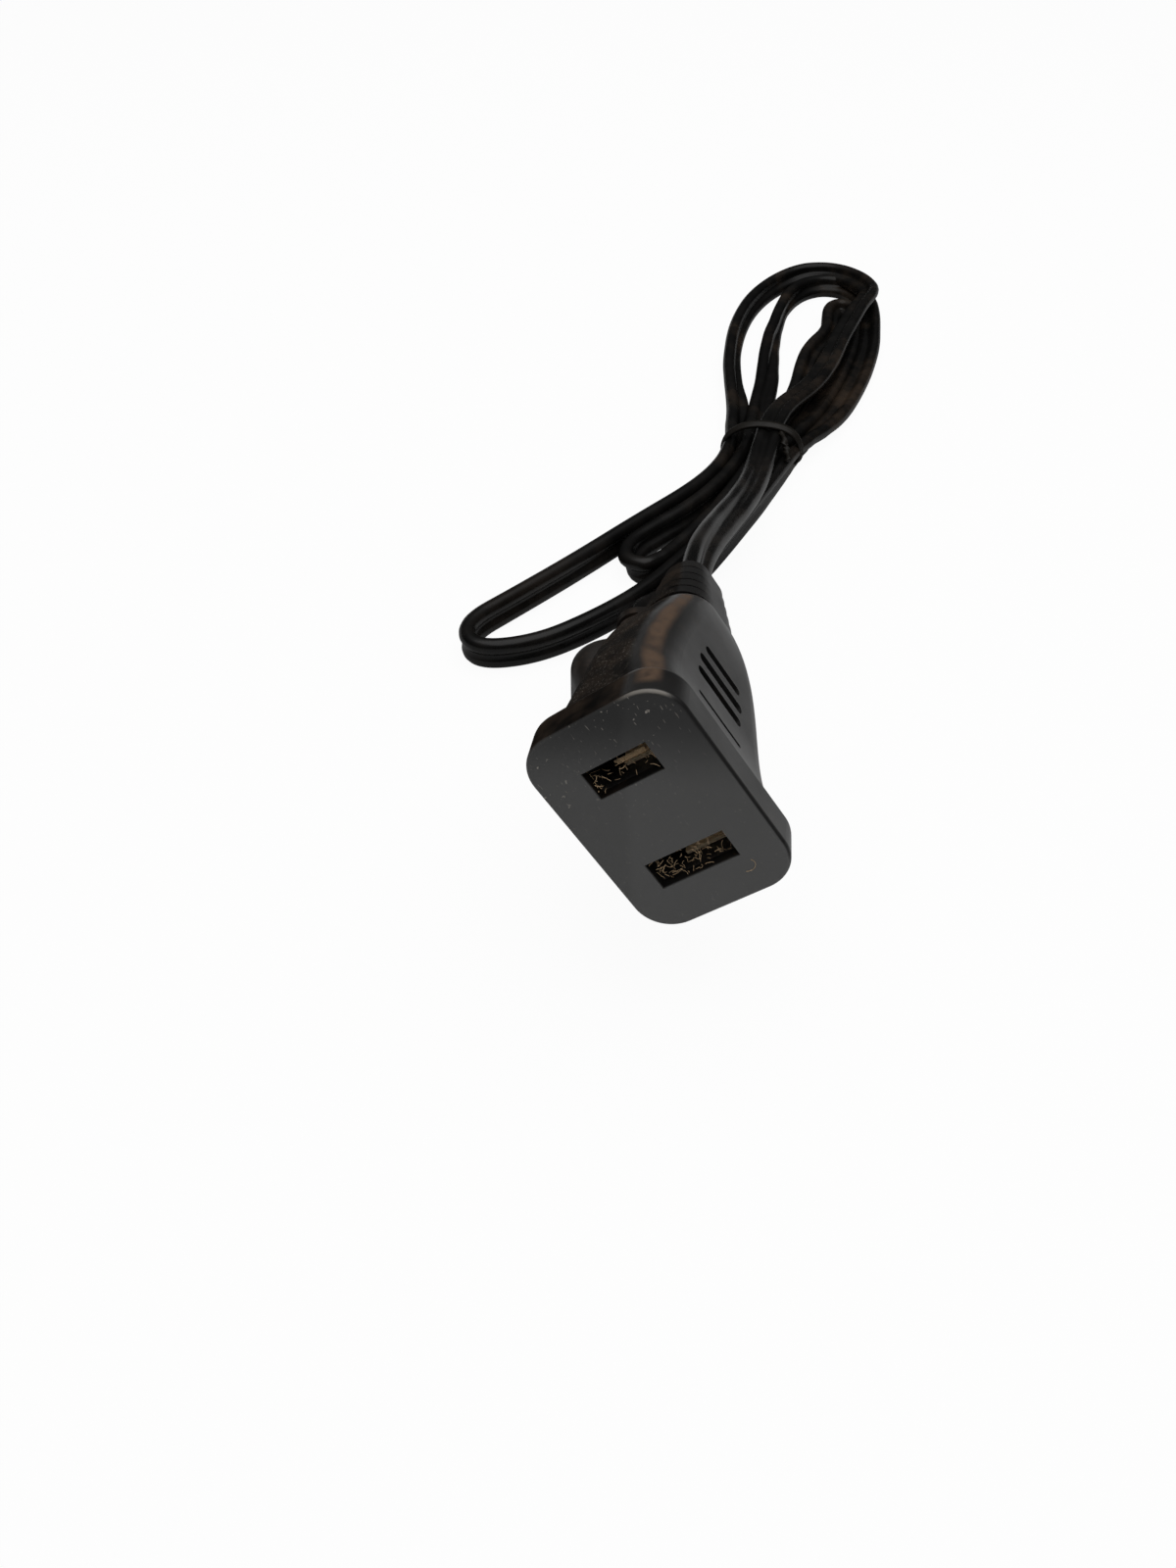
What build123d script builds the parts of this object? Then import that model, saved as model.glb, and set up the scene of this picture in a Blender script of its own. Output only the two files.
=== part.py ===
from build123d import *
import os
from math import cos, radians, sin, tan

# Power cord: a flat twin cord folded into a tied hank, with a moulded two-slot
# connector on one end and a moulded two-blade plug on the other. It lies on a
# table at z = 0. +Y runs from the connector's face towards the hank. The origin is
# on the table, below the middle of the box round connector and plug. Millimetres.

os.makedirs("parts", exist_ok=True)

# Flat cord
cord_width = 5.2
cord_thickness = 2.6
core_diameter = 2.2
round_share = 0.45

# Blade standard that plug and connector share
blade_spacing = 12.7
blade_thickness = 1.5
narrow_blade_width = 6.35
wide_blade_width = 7.94
blade_length = 16.0
blade_hole_diameter = 3.2
blade_hole_from_tip = 4.6
blade_tip_chamfer = 1.2
blade_root_depth = 9.0

# Connector: place and attitude on the table
connector_face_x = -0.35
connector_face_y = -30.3
connector_face_z = 26.7
connector_yaw = 7.9
connector_nose_lift = 7.3
connector_roll = -53.6

# Connector: outer moulding, depths measured back from the face
face_length = 26.8
face_width = 18.4
face_corner = 4.3
face_edge_radius = 0.5
flange_depth = 4.4
flange_edge_radius = 1.0
waist_depth = 8.0
waist_step_along = 1.4
waist_step_across = 1.7
waist_corner = 4.0
grip_depth = 18.0
grip_length = 23.2
grip_width = 12.2
grip_corner = 4.4
cheek_depth = 28.5
cheek_length = 18.8
cheek_width = 12.6
shoulder_depth = 38.0
shoulder_length = 12.0
shoulder_width = 10.6
groove_depths = (13.3, 18.4, 21.2, 24.0)
groove_lengths = (8.4, 8.8, 8.8, 7.2)
groove_gaps = (0.7, 1.5, 1.5, 1.3)
groove_cut = 0.6
groove_reach = 4.0
edge_tolerance = 0.01

# Connector: strain relief
relief_length = 14.0
relief_root_length = 12.0
relief_root_width = 9.8
relief_tip_length = 8.8
relief_tip_width = 6.6
relief_rib_count = 5
relief_neck_inset = 0.8
relief_rib_share = 0.6

# Connector: slots, carrier block and contacts
narrow_slot_length = 7.7
wide_slot_length = 9.4
slot_gap = 3.6
slot_shift = -0.2
face_skin = 1.6
carrier_length = 20.4
carrier_width = 10.8
carrier_depth = 17.0
carrier_corner = 1.5
contact_sheet = 0.45
contact_clearance = 0.1
contact_width = 4.8
contact_shift = 1.1
contact_length = 12.0
contact_mouth_depth = 0.5
contact_throat = 1.2
contact_shoulder = 1.5
contact_bend_radius = 0.5
crimp_diameter = 3.4
crimp_length = 5.0
core_straight = 9.0
core_bend_radius = 8.0

# Plug
plug_face_x = 1.2
plug_face_y = 2.3
plug_face_length = 22.6
plug_face_width = 12.0
plug_corner = 3.4
plug_flange_depth = 4.0
plug_waist_depth = 8.0
plug_waist_length = 19.4
plug_waist_width = 10.4
plug_grip_depth = 15.5
plug_grip_length = 22.4
plug_grip_width = 11.6
plug_shoulder_depth = 20.5
plug_shoulder_length = 11.0
plug_shoulder_width = 9.4
plug_relief_length = 10.0
plug_relief_root = 8.6
plug_relief_root_height = 7.6
plug_relief_rib_count = 4
plug_carrier_length = 17.4
plug_carrier_width = 8.6
plug_carrier_depth = 5.5
plug_carrier_corner = 1.2
plug_core_straight = 7.0
plug_core_bend_radius = 4.0
plug_face_skin = 1.4
plug_groove_depths = (9.5, 12.0, 14.5)
plug_groove_length = 9.0
plug_groove_gap = 1.0

# Tie round the hank
tie_centre = (26.935, 94.995)
tie_heading = -15.0
tie_band_width = 4.6
tie_thickness = 0.9
tie_squeeze = 0.5
over_strand_clearance = 0.2
tie_tail_length = 9.0
tie_tail_width = 2.4
tie_tail_turns = 1.5
tie_tail_steps = 12
bundle_length = 5.6
bundle_count = 6
strand_pitch = 2.75

# Route of the cord, chosen by eye. The six strands cross the tie side by side, on
# edge, and connector_side and plug_side are where the two leads meet the hank.
connector_side = (33.77, 93.09)
plug_side = (31.12, 93.85)
tie_spots = ((20.1, 96.9), (22.7, 96.2), (25.4, 95.4), (28.3, 94.7))

connector_lead_points = [
    (6.74, 20.79, 20.09), (8.01, 29.93, 18.91), (10.7, 40.2, 16.5), (14.1, 50.6, 13.6),
    (17.9, 61.2, 11.0), (21.1, 71.4, 8.8), (23.4, 81.0, 7.1), (25.07, 88.04, 6.7),
    (26.21, 92.29, 6.7),
]
plug_lead_points = [
    (1.2, 32.8, 6.0), (1.2, 36.8, 6.0), (3.9, 41.4, 4.6), (8.7, 48.4, 2.9),
    (14.1, 57.0, 2.6), (19.5, 66.8, 2.6), (24.7, 77.0, 2.6), (27.6, 83.0, 2.6),
    (29.3, 87.1, 2.6), (30.395, 91.145, 2.6),
]
far_outer_loop = [
    connector_side, (37.0, 101.6), (44.6, 114.1), (51.5, 130.1), (56.5, 148.3),
    (60.2, 164.8), (62.3, 178.3), (56.7, 188.6), (46.0, 189.2), (36.7, 179.8),
    (30.4, 165.3), (25.8, 147.3), (22.8, 129.8), (21.7, 113.3), tie_spots[0],
]
near_large_loop = [
    tie_spots[0], (17.3, 87.4), (11.6, 78.5), (1.4, 67.2), (-9.4, 54.5), (-18.7, 44.4),
    (-26.7, 36.0), (-24.9, 29.5), (-15.5, 31.0), (-6.2, 37.8), (1.9, 45.9), (8.3, 55.3),
    (14.5, 64.8), (20.1, 75.8), (25.3, 85.8), tie_spots[3],
]
far_inner_loop = [
    tie_spots[3], (30.7, 106.3), (35.1, 117.3), (41.4, 131.8), (47.9, 146.4),
    (51.6, 154.2), (53.7, 159.6), (54.5, 163.4), (53.8, 165.9), (51.4, 165.9),
    (50.7, 163.4), (50.3, 158.6), (47.0, 151.6), (42.1, 142.8), (37.7, 131.8),
    (33.3, 120.3), (28.5, 107.8), tie_spots[2],
]
near_small_loop = [
    tie_spots[2], (23.9, 89.3), (20.5, 82.4), (15.9, 73.6), (10.7, 65.6), (6.9, 59.8),
    (3.3, 55.2), (0.1, 56.2), (-0.1, 61.0), (4.1, 65.0), (9.3, 70.2), (14.9, 78.0),
    (19.9, 86.8), tie_spots[1],
]
far_middle_loop = [
    tie_spots[1], (25.3, 106.8), (28.6, 121.8), (31.9, 137.8), (35.6, 153.8),
    (39.6, 168.3), (44.3, 181.6), (52.1, 186.0), (57.7, 183.0), (58.9, 173.8),
    (56.5, 161.3), (52.7, 146.3), (47.7, 131.3), (41.3, 117.0), (35.0, 104.0), plug_side,
]
hank_loops = [far_outer_loop, near_large_loop, far_inner_loop, near_small_loop, far_middle_loop]


# Radius for each corner of a route: as large as its shorter run allows
def corner_radii(points):
    spots = [Vector(*point) for point in points]
    radii = []
    for before, here, after in zip(spots, spots[1:], spots[2:]):
        turn = (here - before).get_angle(after - here)
        run = min((here - before).length, (after - here).length)
        radii.append(round_share * run / tan(radians(turn / 2)))
    return radii


# Connector planes: face_plane looks along the nose, and side_plane holds the row of
# slots, with its y measured back from the face
nose = Vector(
    -sin(radians(connector_yaw)) * cos(radians(connector_nose_lift)),
    -cos(radians(connector_yaw)) * cos(radians(connector_nose_lift)),
    sin(radians(connector_nose_lift)),
)
level_across = Vector(cos(radians(connector_yaw)), -sin(radians(connector_yaw)), 0)
face_centre = Vector(connector_face_x, connector_face_y, connector_face_z)
nose_axis = Axis(face_centre, nose)
long_direction = level_across.rotate(nose_axis, connector_roll)
face_plane = Plane(origin=face_centre, x_dir=long_direction, z_dir=nose)
side_plane = Plane(origin=face_centre, x_dir=long_direction, z_dir=face_plane.y_dir)
relief_end = shoulder_depth + relief_length
waist_length = face_length - 2 * waist_step_along
waist_width = face_width - 2 * waist_step_across

narrow_place = -blade_spacing / 2
wide_place = blade_spacing / 2
carrier_back = face_skin + carrier_depth
crimp_start = face_skin + contact_mouth_depth + contact_length
crimp_end = crimp_start + crimp_length


# Half the grip's width at a depth, between the sizes that are given for it
def grip_side_height(depth):
    depths = (waist_depth, grip_depth, cheek_depth, shoulder_depth)
    widths = (waist_width, grip_width, cheek_width, shoulder_width)
    for start, end, near, far in zip(depths, depths[1:], widths, widths[1:]):
        if depth <= end:
            return (near + (far - near) * (depth - start) / (end - start)) / 2
    return shoulder_width / 2


# Contacts: sheet strip folded into two leaves that grip a blade, with a crimp barrel
def contact_profile(place):
    mouth = face_skin + contact_mouth_depth
    outer = slot_gap / 2 - contact_sheet / 2 - contact_clearance
    return [
        (place - outer, mouth),
        (place - outer, mouth + contact_length - contact_shoulder),
        (place, mouth + contact_length),
        (place + outer, mouth + contact_length - contact_shoulder),
        (place + contact_throat / 2 + contact_sheet / 2, mouth + contact_length / 2),
        (place + outer, mouth + contact_length / 6),
    ]


with BuildPart() as contact_narrow:
    with BuildSketch(side_plane.offset(contact_shift)):
        with BuildLine():
            FilletPolyline(*contact_profile(narrow_place), radius=contact_bend_radius)
        trace(line_width=contact_sheet)
    extrude(amount=contact_width / 2, both=True)
    with BuildSketch(face_plane.offset(-crimp_start)):
        with Locations((narrow_place, 0)):
            Circle(crimp_diameter / 2)
            Circle(core_diameter / 2, mode=Mode.SUBTRACT)
    extrude(amount=-crimp_length)
contact_narrow.part.label = "contact_narrow"
export_step(contact_narrow.part, "parts/contact_narrow.step")

with BuildPart() as contact_wide:
    with BuildSketch(side_plane.offset(contact_shift)):
        with BuildLine():
            FilletPolyline(*contact_profile(wide_place), radius=contact_bend_radius)
        trace(line_width=contact_sheet)
    extrude(amount=(contact_width + wide_blade_width - narrow_blade_width) / 2, both=True)
    with BuildSketch(face_plane.offset(-crimp_start)):
        with Locations((wide_place, 0)):
            Circle(crimp_diameter / 2)
            Circle(core_diameter / 2, mode=Mode.SUBTRACT)
    extrude(amount=-crimp_length)
contact_wide.part.label = "contact_wide"
export_step(contact_wide.part, "parts/contact_wide.step")


# Cores: each runs from its crimp to the end of the strain relief
def core_path(place, start, bend, end):
    beside = cord_width / 4 if place > 0 else -cord_width / 4
    return [(place, start), (place, start + bend), (beside, end - bend), (beside, end)]


with BuildPart() as connector_core_narrow:
    with BuildLine(side_plane) as narrow_core_line:
        FilletPolyline(
            *core_path(narrow_place, crimp_start, core_straight, relief_end), radius=core_bend_radius
        )
    with BuildSketch(face_plane.offset(-crimp_start)):
        with Locations((narrow_place, 0)):
            Circle(core_diameter / 2)
    sweep(path=narrow_core_line.line)
connector_core_narrow.part.label = "connector_core_narrow"
export_step(connector_core_narrow.part, "parts/connector_core_narrow.step")

with BuildPart() as connector_core_wide:
    with BuildLine(side_plane) as wide_core_line:
        FilletPolyline(
            *core_path(wide_place, crimp_start, core_straight, relief_end), radius=core_bend_radius
        )
    with BuildSketch(face_plane.offset(-crimp_start)):
        with Locations((wide_place, 0)):
            Circle(core_diameter / 2)
    sweep(path=wide_core_line.line)
connector_core_wide.part.label = "connector_core_wide"
export_step(connector_core_wide.part, "parts/connector_core_wide.step")

# Carrier block: a pocket behind each slot holds a contact
with BuildPart() as connector_carrier:
    with BuildSketch(face_plane.offset(-face_skin)):
        RectangleRounded(carrier_length, carrier_width, carrier_corner)
    extrude(amount=-carrier_depth)
    with BuildSketch(face_plane.offset(-face_skin)):
        with Locations((narrow_place, slot_shift)):
            Rectangle(slot_gap, narrow_slot_length)
        with Locations((wide_place, slot_shift)):
            Rectangle(slot_gap, wide_slot_length)
    extrude(amount=-(contact_mouth_depth + contact_length + contact_sheet), mode=Mode.SUBTRACT)
    with BuildSketch(face_plane.offset(-crimp_start)):
        with Locations((narrow_place, 0), (wide_place, 0)):
            Circle(crimp_diameter / 2)
    extrude(amount=-(carrier_back - crimp_start), mode=Mode.SUBTRACT)
connector_carrier.part.label = "connector_carrier"
export_step(connector_carrier.part, "parts/connector_carrier.step")


# True for an edge that runs where the flange ends and the waist begins
def at_flange_back(edge):
    depths = [(face_centre - edge @ share).dot(nose) for share in (0, 0.5, 1)]
    return all(abs(depth - flange_depth) < edge_tolerance for depth in depths)


# Connector housing: flange, waisted grip, round shoulder and ribbed strain relief
with BuildPart() as connector_housing:
    with BuildSketch(face_plane):
        RectangleRounded(face_length, face_width, face_corner)
    extrude(amount=-flange_depth)
    fillet(connector_housing.faces().sort_by(nose_axis)[-1].edges(), face_edge_radius)
    with BuildSketch(face_plane.offset(-flange_depth)):
        RectangleRounded(face_length, face_width, face_corner)
    with BuildSketch(face_plane.offset(-waist_depth)):
        RectangleRounded(waist_length, waist_width, waist_corner)
    loft(ruled=True)
    fillet(connector_housing.edges().filter_by(at_flange_back), flange_edge_radius)
    with BuildSketch(face_plane.offset(-waist_depth)):
        RectangleRounded(waist_length, waist_width, waist_corner)
    with BuildSketch(face_plane.offset(-grip_depth)):
        RectangleRounded(grip_length, grip_width, grip_corner)
    with BuildSketch(face_plane.offset(-cheek_depth)):
        RectangleRounded(cheek_length, cheek_width, grip_corner)
    with BuildSketch(face_plane.offset(-shoulder_depth)):
        RectangleRounded(shoulder_length, shoulder_width, grip_corner)
    loft()
    rib_step = relief_length / relief_rib_count
    for rib in range(relief_rib_count):
        share = rib / (relief_rib_count - 1)
        rib_length = relief_root_length + (relief_tip_length - relief_root_length) * share
        rib_width = relief_root_width + (relief_tip_width - relief_root_width) * share
        neck_length = rib_length - 2 * relief_neck_inset
        neck_width = rib_width - 2 * relief_neck_inset
        neck_start = shoulder_depth + rib * rib_step
        neck_run = rib_step * (1 - relief_rib_share)
        with BuildSketch(face_plane.offset(-neck_start)):
            RectangleRounded(neck_length, neck_width, neck_width * round_share)
        extrude(amount=-neck_run)
        with BuildSketch(face_plane.offset(-neck_start - neck_run)):
            RectangleRounded(rib_length, rib_width, rib_width * round_share)
        extrude(amount=-(rib_step - neck_run))
    for groove_depth, groove_length, groove_gap in zip(groove_depths, groove_lengths, groove_gaps):
        side_height = grip_side_height(groove_depth)
        for side in (1, -1):
            with BuildSketch(side_plane.offset(side * (side_height - groove_cut))):
                with Locations((0, groove_depth)):
                    RectangleRounded(groove_length, groove_gap, groove_gap * round_share)
            extrude(amount=side * groove_reach, mode=Mode.SUBTRACT)
    with BuildSketch(face_plane):
        with Locations((narrow_place, slot_shift)):
            Rectangle(slot_gap, narrow_slot_length)
        with Locations((wide_place, slot_shift)):
            Rectangle(slot_gap, wide_slot_length)
    extrude(amount=-face_skin, mode=Mode.SUBTRACT)
    with BuildSketch(face_plane.offset(-face_skin)):
        RectangleRounded(carrier_length, carrier_width, carrier_corner)
    extrude(amount=-carrier_depth, mode=Mode.SUBTRACT)
    with BuildSketch(face_plane.offset(-carrier_back)):
        with Locations((narrow_place, 0), (wide_place, 0)):
            Circle(crimp_diameter / 2)
    extrude(amount=-(crimp_end - carrier_back), mode=Mode.SUBTRACT)
    add(connector_core_narrow.part, mode=Mode.SUBTRACT)
    add(connector_core_wide.part, mode=Mode.SUBTRACT)
connector_housing.part.label = "connector_housing"
export_step(connector_housing.part, "parts/connector_housing.step")

# Plug planes: plug_plane looks along the blades, and plug_side_plane holds both
# blades, with its y measured back from the plug's face
plug_centre = Vector(plug_face_x, plug_face_y, plug_face_width / 2)
plug_plane = Plane(origin=plug_centre, x_dir=(1, 0, 0), z_dir=(0, -1, 0))
plug_side_plane = Plane(origin=plug_centre, x_dir=(1, 0, 0), z_dir=(0, 0, 1))
plug_relief_end = plug_shoulder_depth + plug_relief_length
plug_crimp_start = blade_root_depth

with BuildPart() as blade_narrow:
    with BuildSketch(plug_plane.offset(blade_length)):
        with Locations((narrow_place, 0)):
            Rectangle(blade_thickness, narrow_blade_width)
    extrude(amount=-(blade_length + blade_root_depth))
    chamfer(blade_narrow.faces().sort_by(Axis.Y)[0].edges().filter_by(Axis.X), blade_tip_chamfer)
    with BuildSketch(Plane(origin=plug_centre, x_dir=(0, 1, 0), z_dir=(1, 0, 0)).offset(narrow_place)):
        with Locations((blade_hole_from_tip - blade_length, 0)):
            Circle(blade_hole_diameter / 2)
    extrude(amount=blade_thickness, both=True, mode=Mode.SUBTRACT)
    with BuildSketch(plug_plane.offset(-plug_crimp_start)):
        with Locations((narrow_place, 0)):
            Circle(crimp_diameter / 2)
            Circle(core_diameter / 2, mode=Mode.SUBTRACT)
    extrude(amount=-crimp_length)
blade_narrow.part.label = "blade_narrow"
export_step(blade_narrow.part, "parts/blade_narrow.step")

with BuildPart() as blade_wide:
    with BuildSketch(plug_plane.offset(blade_length)):
        with Locations((wide_place, 0)):
            Rectangle(blade_thickness, wide_blade_width)
    extrude(amount=-(blade_length + blade_root_depth))
    chamfer(blade_wide.faces().sort_by(Axis.Y)[0].edges().filter_by(Axis.X), blade_tip_chamfer)
    with BuildSketch(Plane(origin=plug_centre, x_dir=(0, 1, 0), z_dir=(1, 0, 0)).offset(wide_place)):
        with Locations((blade_hole_from_tip - blade_length, 0)):
            Circle(blade_hole_diameter / 2)
    extrude(amount=blade_thickness, both=True, mode=Mode.SUBTRACT)
    with BuildSketch(plug_plane.offset(-plug_crimp_start)):
        with Locations((wide_place, 0)):
            Circle(crimp_diameter / 2)
            Circle(core_diameter / 2, mode=Mode.SUBTRACT)
    extrude(amount=-crimp_length)
blade_wide.part.label = "blade_wide"
export_step(blade_wide.part, "parts/blade_wide.step")

with BuildPart() as plug_core_narrow:
    with BuildLine(plug_side_plane) as plug_narrow_line:
        FilletPolyline(
            *core_path(narrow_place, plug_crimp_start, plug_core_straight, plug_relief_end),
            radius=plug_core_bend_radius,
        )
    with BuildSketch(plug_plane.offset(-plug_crimp_start)):
        with Locations((narrow_place, 0)):
            Circle(core_diameter / 2)
    sweep(path=plug_narrow_line.line)
plug_core_narrow.part.label = "plug_core_narrow"
export_step(plug_core_narrow.part, "parts/plug_core_narrow.step")

with BuildPart() as plug_core_wide:
    with BuildLine(plug_side_plane) as plug_wide_line:
        FilletPolyline(
            *core_path(wide_place, plug_crimp_start, plug_core_straight, plug_relief_end),
            radius=plug_core_bend_radius,
        )
    with BuildSketch(plug_plane.offset(-plug_crimp_start)):
        with Locations((wide_place, 0)):
            Circle(core_diameter / 2)
    sweep(path=plug_wide_line.line)
plug_core_wide.part.label = "plug_core_wide"
export_step(plug_core_wide.part, "parts/plug_core_wide.step")

# Bridge that holds the two blades at their spacing
with BuildPart() as plug_bridge:
    with BuildSketch(plug_plane.offset(-plug_face_skin)):
        RectangleRounded(plug_carrier_length, plug_carrier_width, plug_carrier_corner)
        with Locations((narrow_place, 0)):
            Rectangle(blade_thickness, narrow_blade_width, mode=Mode.SUBTRACT)
        with Locations((wide_place, 0)):
            Rectangle(blade_thickness, wide_blade_width, mode=Mode.SUBTRACT)
    extrude(amount=-plug_carrier_depth)
plug_bridge.part.label = "plug_bridge"
export_step(plug_bridge.part, "parts/plug_bridge.step")

# Plug housing
with BuildPart() as plug_housing:
    with BuildSketch(plug_plane):
        RectangleRounded(plug_face_length, plug_face_width, plug_corner)
    extrude(amount=-plug_flange_depth)
    fillet(plug_housing.faces().sort_by(Axis.Y)[0].edges(), face_edge_radius)
    with BuildSketch(plug_plane.offset(-plug_flange_depth)):
        RectangleRounded(plug_face_length, plug_face_width, plug_corner)
    with BuildSketch(plug_plane.offset(-plug_waist_depth)):
        RectangleRounded(plug_waist_length, plug_waist_width, plug_corner)
    with BuildSketch(plug_plane.offset(-plug_grip_depth)):
        RectangleRounded(plug_grip_length, plug_grip_width, plug_corner)
    with BuildSketch(plug_plane.offset(-plug_shoulder_depth)):
        RectangleRounded(plug_shoulder_length, plug_shoulder_width, plug_corner)
    loft()
    plug_rib_step = plug_relief_length / plug_relief_rib_count
    for rib in range(plug_relief_rib_count):
        share = rib / (plug_relief_rib_count - 1)
        rib_length = plug_relief_root + (relief_tip_length - plug_relief_root) * share
        rib_width = plug_relief_root_height + (relief_tip_width - plug_relief_root_height) * share
        neck_length = rib_length - 2 * relief_neck_inset
        neck_width = rib_width - 2 * relief_neck_inset
        neck_start = plug_shoulder_depth + rib * plug_rib_step
        neck_run = plug_rib_step * (1 - relief_rib_share)
        with BuildSketch(plug_plane.offset(-neck_start)):
            RectangleRounded(neck_length, neck_width, neck_width * round_share)
        extrude(amount=-neck_run)
        with BuildSketch(plug_plane.offset(-neck_start - neck_run)):
            RectangleRounded(rib_length, rib_width, rib_width * round_share)
        extrude(amount=-(plug_rib_step - neck_run))
    for groove_depth in plug_groove_depths:
        for side in (1, -1):
            with BuildSketch(plug_side_plane.offset(side * plug_grip_width / 2)):
                with Locations((0, groove_depth)):
                    RectangleRounded(plug_groove_length, plug_groove_gap, plug_groove_gap * round_share)
            extrude(amount=groove_cut, both=True, mode=Mode.SUBTRACT)
    with BuildSketch(plug_plane.offset(-plug_face_skin)):
        RectangleRounded(plug_carrier_length, plug_carrier_width, plug_carrier_corner)
    extrude(amount=-plug_carrier_depth, mode=Mode.SUBTRACT)
    with BuildSketch(plug_plane):
        with Locations((narrow_place, 0)):
            Rectangle(blade_thickness, narrow_blade_width)
        with Locations((wide_place, 0)):
            Rectangle(blade_thickness, wide_blade_width)
    extrude(amount=-blade_root_depth, mode=Mode.SUBTRACT)
    with BuildSketch(plug_plane.offset(-plug_crimp_start)):
        with Locations((narrow_place, 0), (wide_place, 0)):
            Circle(crimp_diameter / 2)
    extrude(amount=-crimp_length, mode=Mode.SUBTRACT)
    add(plug_core_narrow.part, mode=Mode.SUBTRACT)
    add(plug_core_wide.part, mode=Mode.SUBTRACT)
plug_housing.part.label = "plug_housing"
export_step(plug_housing.part, "parts/plug_housing.step")

# Leads: flat cord from each strain relief to the hank. The connector's runs flat
# over the other strands, and the plug's runs on edge beside them.
connector_lead_radii = corner_radii(connector_lead_points)
print("connector lead radii", [round(radius, 1) for radius in connector_lead_radii])
with BuildPart() as cord_connector_lead:
    with BuildLine() as connector_lead_line:
        FilletPolyline(*connector_lead_points, radius=connector_lead_radii)
    connector_lead_start = Plane(
        origin=connector_lead_line.line @ 0, x_dir=(1, 0, 0), z_dir=connector_lead_line.line % 0
    )
    with BuildSketch(connector_lead_start):
        SlotOverall(cord_width, cord_thickness)
    sweep(path=connector_lead_line.line)
cord_connector_lead.part.label = "cord_connector_lead"
export_step(cord_connector_lead.part, "parts/cord_connector_lead.step")

plug_lead_radii = corner_radii(plug_lead_points)
print("plug lead radii", [round(radius, 1) for radius in plug_lead_radii])
with BuildPart() as cord_plug_lead:
    with BuildLine() as plug_lead_line:
        FilletPolyline(*plug_lead_points, radius=plug_lead_radii)
    plug_lead_start = Plane(
        origin=plug_lead_line.line @ 0, x_dir=(1, 0, 0), z_dir=plug_lead_line.line % 0
    )
    with BuildSketch(plug_lead_start):
        SlotOverall(cord_width, cord_thickness, rotation=90)
    sweep(path=plug_lead_line.line)
cord_plug_lead.part.label = "cord_plug_lead"
export_step(cord_plug_lead.part, "parts/cord_plug_lead.step")

# Hank: the loops stand on edge on the table and merge where the tie holds them
tie_across = Vector(1, 0, 0).rotate(Axis.Z, tie_heading)
tie_plane = Plane(origin=(*tie_centre, 0), x_dir=tie_across, z_dir=(0, 0, 1))
bundle_width = (bundle_count - 1) * strand_pitch + cord_thickness
over_strand_height = cord_width + over_strand_clearance + cord_thickness / 2
over_strand_top = over_strand_height + cord_thickness / 2
tie_section = Plane(origin=tie_plane.origin, x_dir=tie_across, z_dir=-tie_plane.y_dir)
with BuildPart() as cord_hank:
    with BuildSketch() as hank_plan:
        for loop_points in hank_loops:
            loop_radii = corner_radii(loop_points)
            print("hank loop radii", [round(radius, 1) for radius in loop_radii])
            with BuildLine(mode=Mode.PRIVATE) as loop_line:
                FilletPolyline(*loop_points, radius=loop_radii)
            loop_runs = loop_line.edges()
            loop_middle = len(loop_runs) // 2
            trace(loop_runs[:loop_middle], line_width=cord_thickness)
            trace(loop_runs[loop_middle:], line_width=cord_thickness)
    extrude(amount=cord_width)
    with BuildSketch(tie_plane):
        Rectangle(bundle_width, bundle_length)
    extrude(amount=cord_width)
    with BuildSketch(tie_plane):
        Rectangle(2 * bundle_width, tie_band_width)
        Rectangle(bundle_width - 2 * tie_squeeze, tie_band_width, mode=Mode.SUBTRACT)
    extrude(amount=cord_width, mode=Mode.SUBTRACT)
    with BuildSketch(tie_plane):
        Rectangle(bundle_width, tie_band_width)
    extrude(amount=tie_thickness, mode=Mode.SUBTRACT)
    with BuildSketch(tie_section.offset(-bundle_length / 2)):
        with Locations((0, over_strand_height)):
            SlotOverall(cord_width, cord_thickness)
        with Locations((0, (over_strand_height + cord_width / 2) / 2)):
            Rectangle(cord_width - cord_thickness, over_strand_height - cord_width / 2)
    extrude(amount=bundle_length)
cord_hank.part.label = "cord_hank"
export_step(cord_hank.part, "parts/cord_hank.step")

# Wire tie: a flat band drawn over the raised strand, with its twisted ends on top
bundle_half = bundle_width / 2 - tie_squeeze
band_inside = [
    (-bundle_half, tie_thickness), (-bundle_half, cord_width), (-cord_width / 2, over_strand_top),
    (cord_width / 2, over_strand_top), (bundle_half, cord_width), (bundle_half, tie_thickness),
]
with BuildPart() as hank_tie:
    with BuildSketch(tie_section):
        Polygon(*band_inside, align=None)
        offset(amount=tie_thickness, kind=Kind.ARC)
        Polygon(*band_inside, align=None, mode=Mode.SUBTRACT)
    extrude(amount=tie_band_width / 2, both=True)
    tail_start = tie_plane.origin + Vector(0, 0, over_strand_top + tie_tail_width / 2)
    for step in range(tie_tail_steps + 1):
        share = step / tie_tail_steps
        tail_angle = 90 + 360 * tie_tail_turns * share
        tail_section = Plane(
            origin=tail_start + tie_plane.y_dir * (tie_tail_length * share),
            x_dir=tie_across,
            z_dir=tie_plane.y_dir,
        )
        with BuildSketch(tail_section):
            Rectangle(tie_tail_width, tie_thickness, rotation=tail_angle)
    loft(ruled=True)
hank_tie.part.label = "hank_tie"
export_step(hank_tie.part, "parts/hank_tie.step")
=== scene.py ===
import math
import random

import bpy
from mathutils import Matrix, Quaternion, Vector


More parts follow.
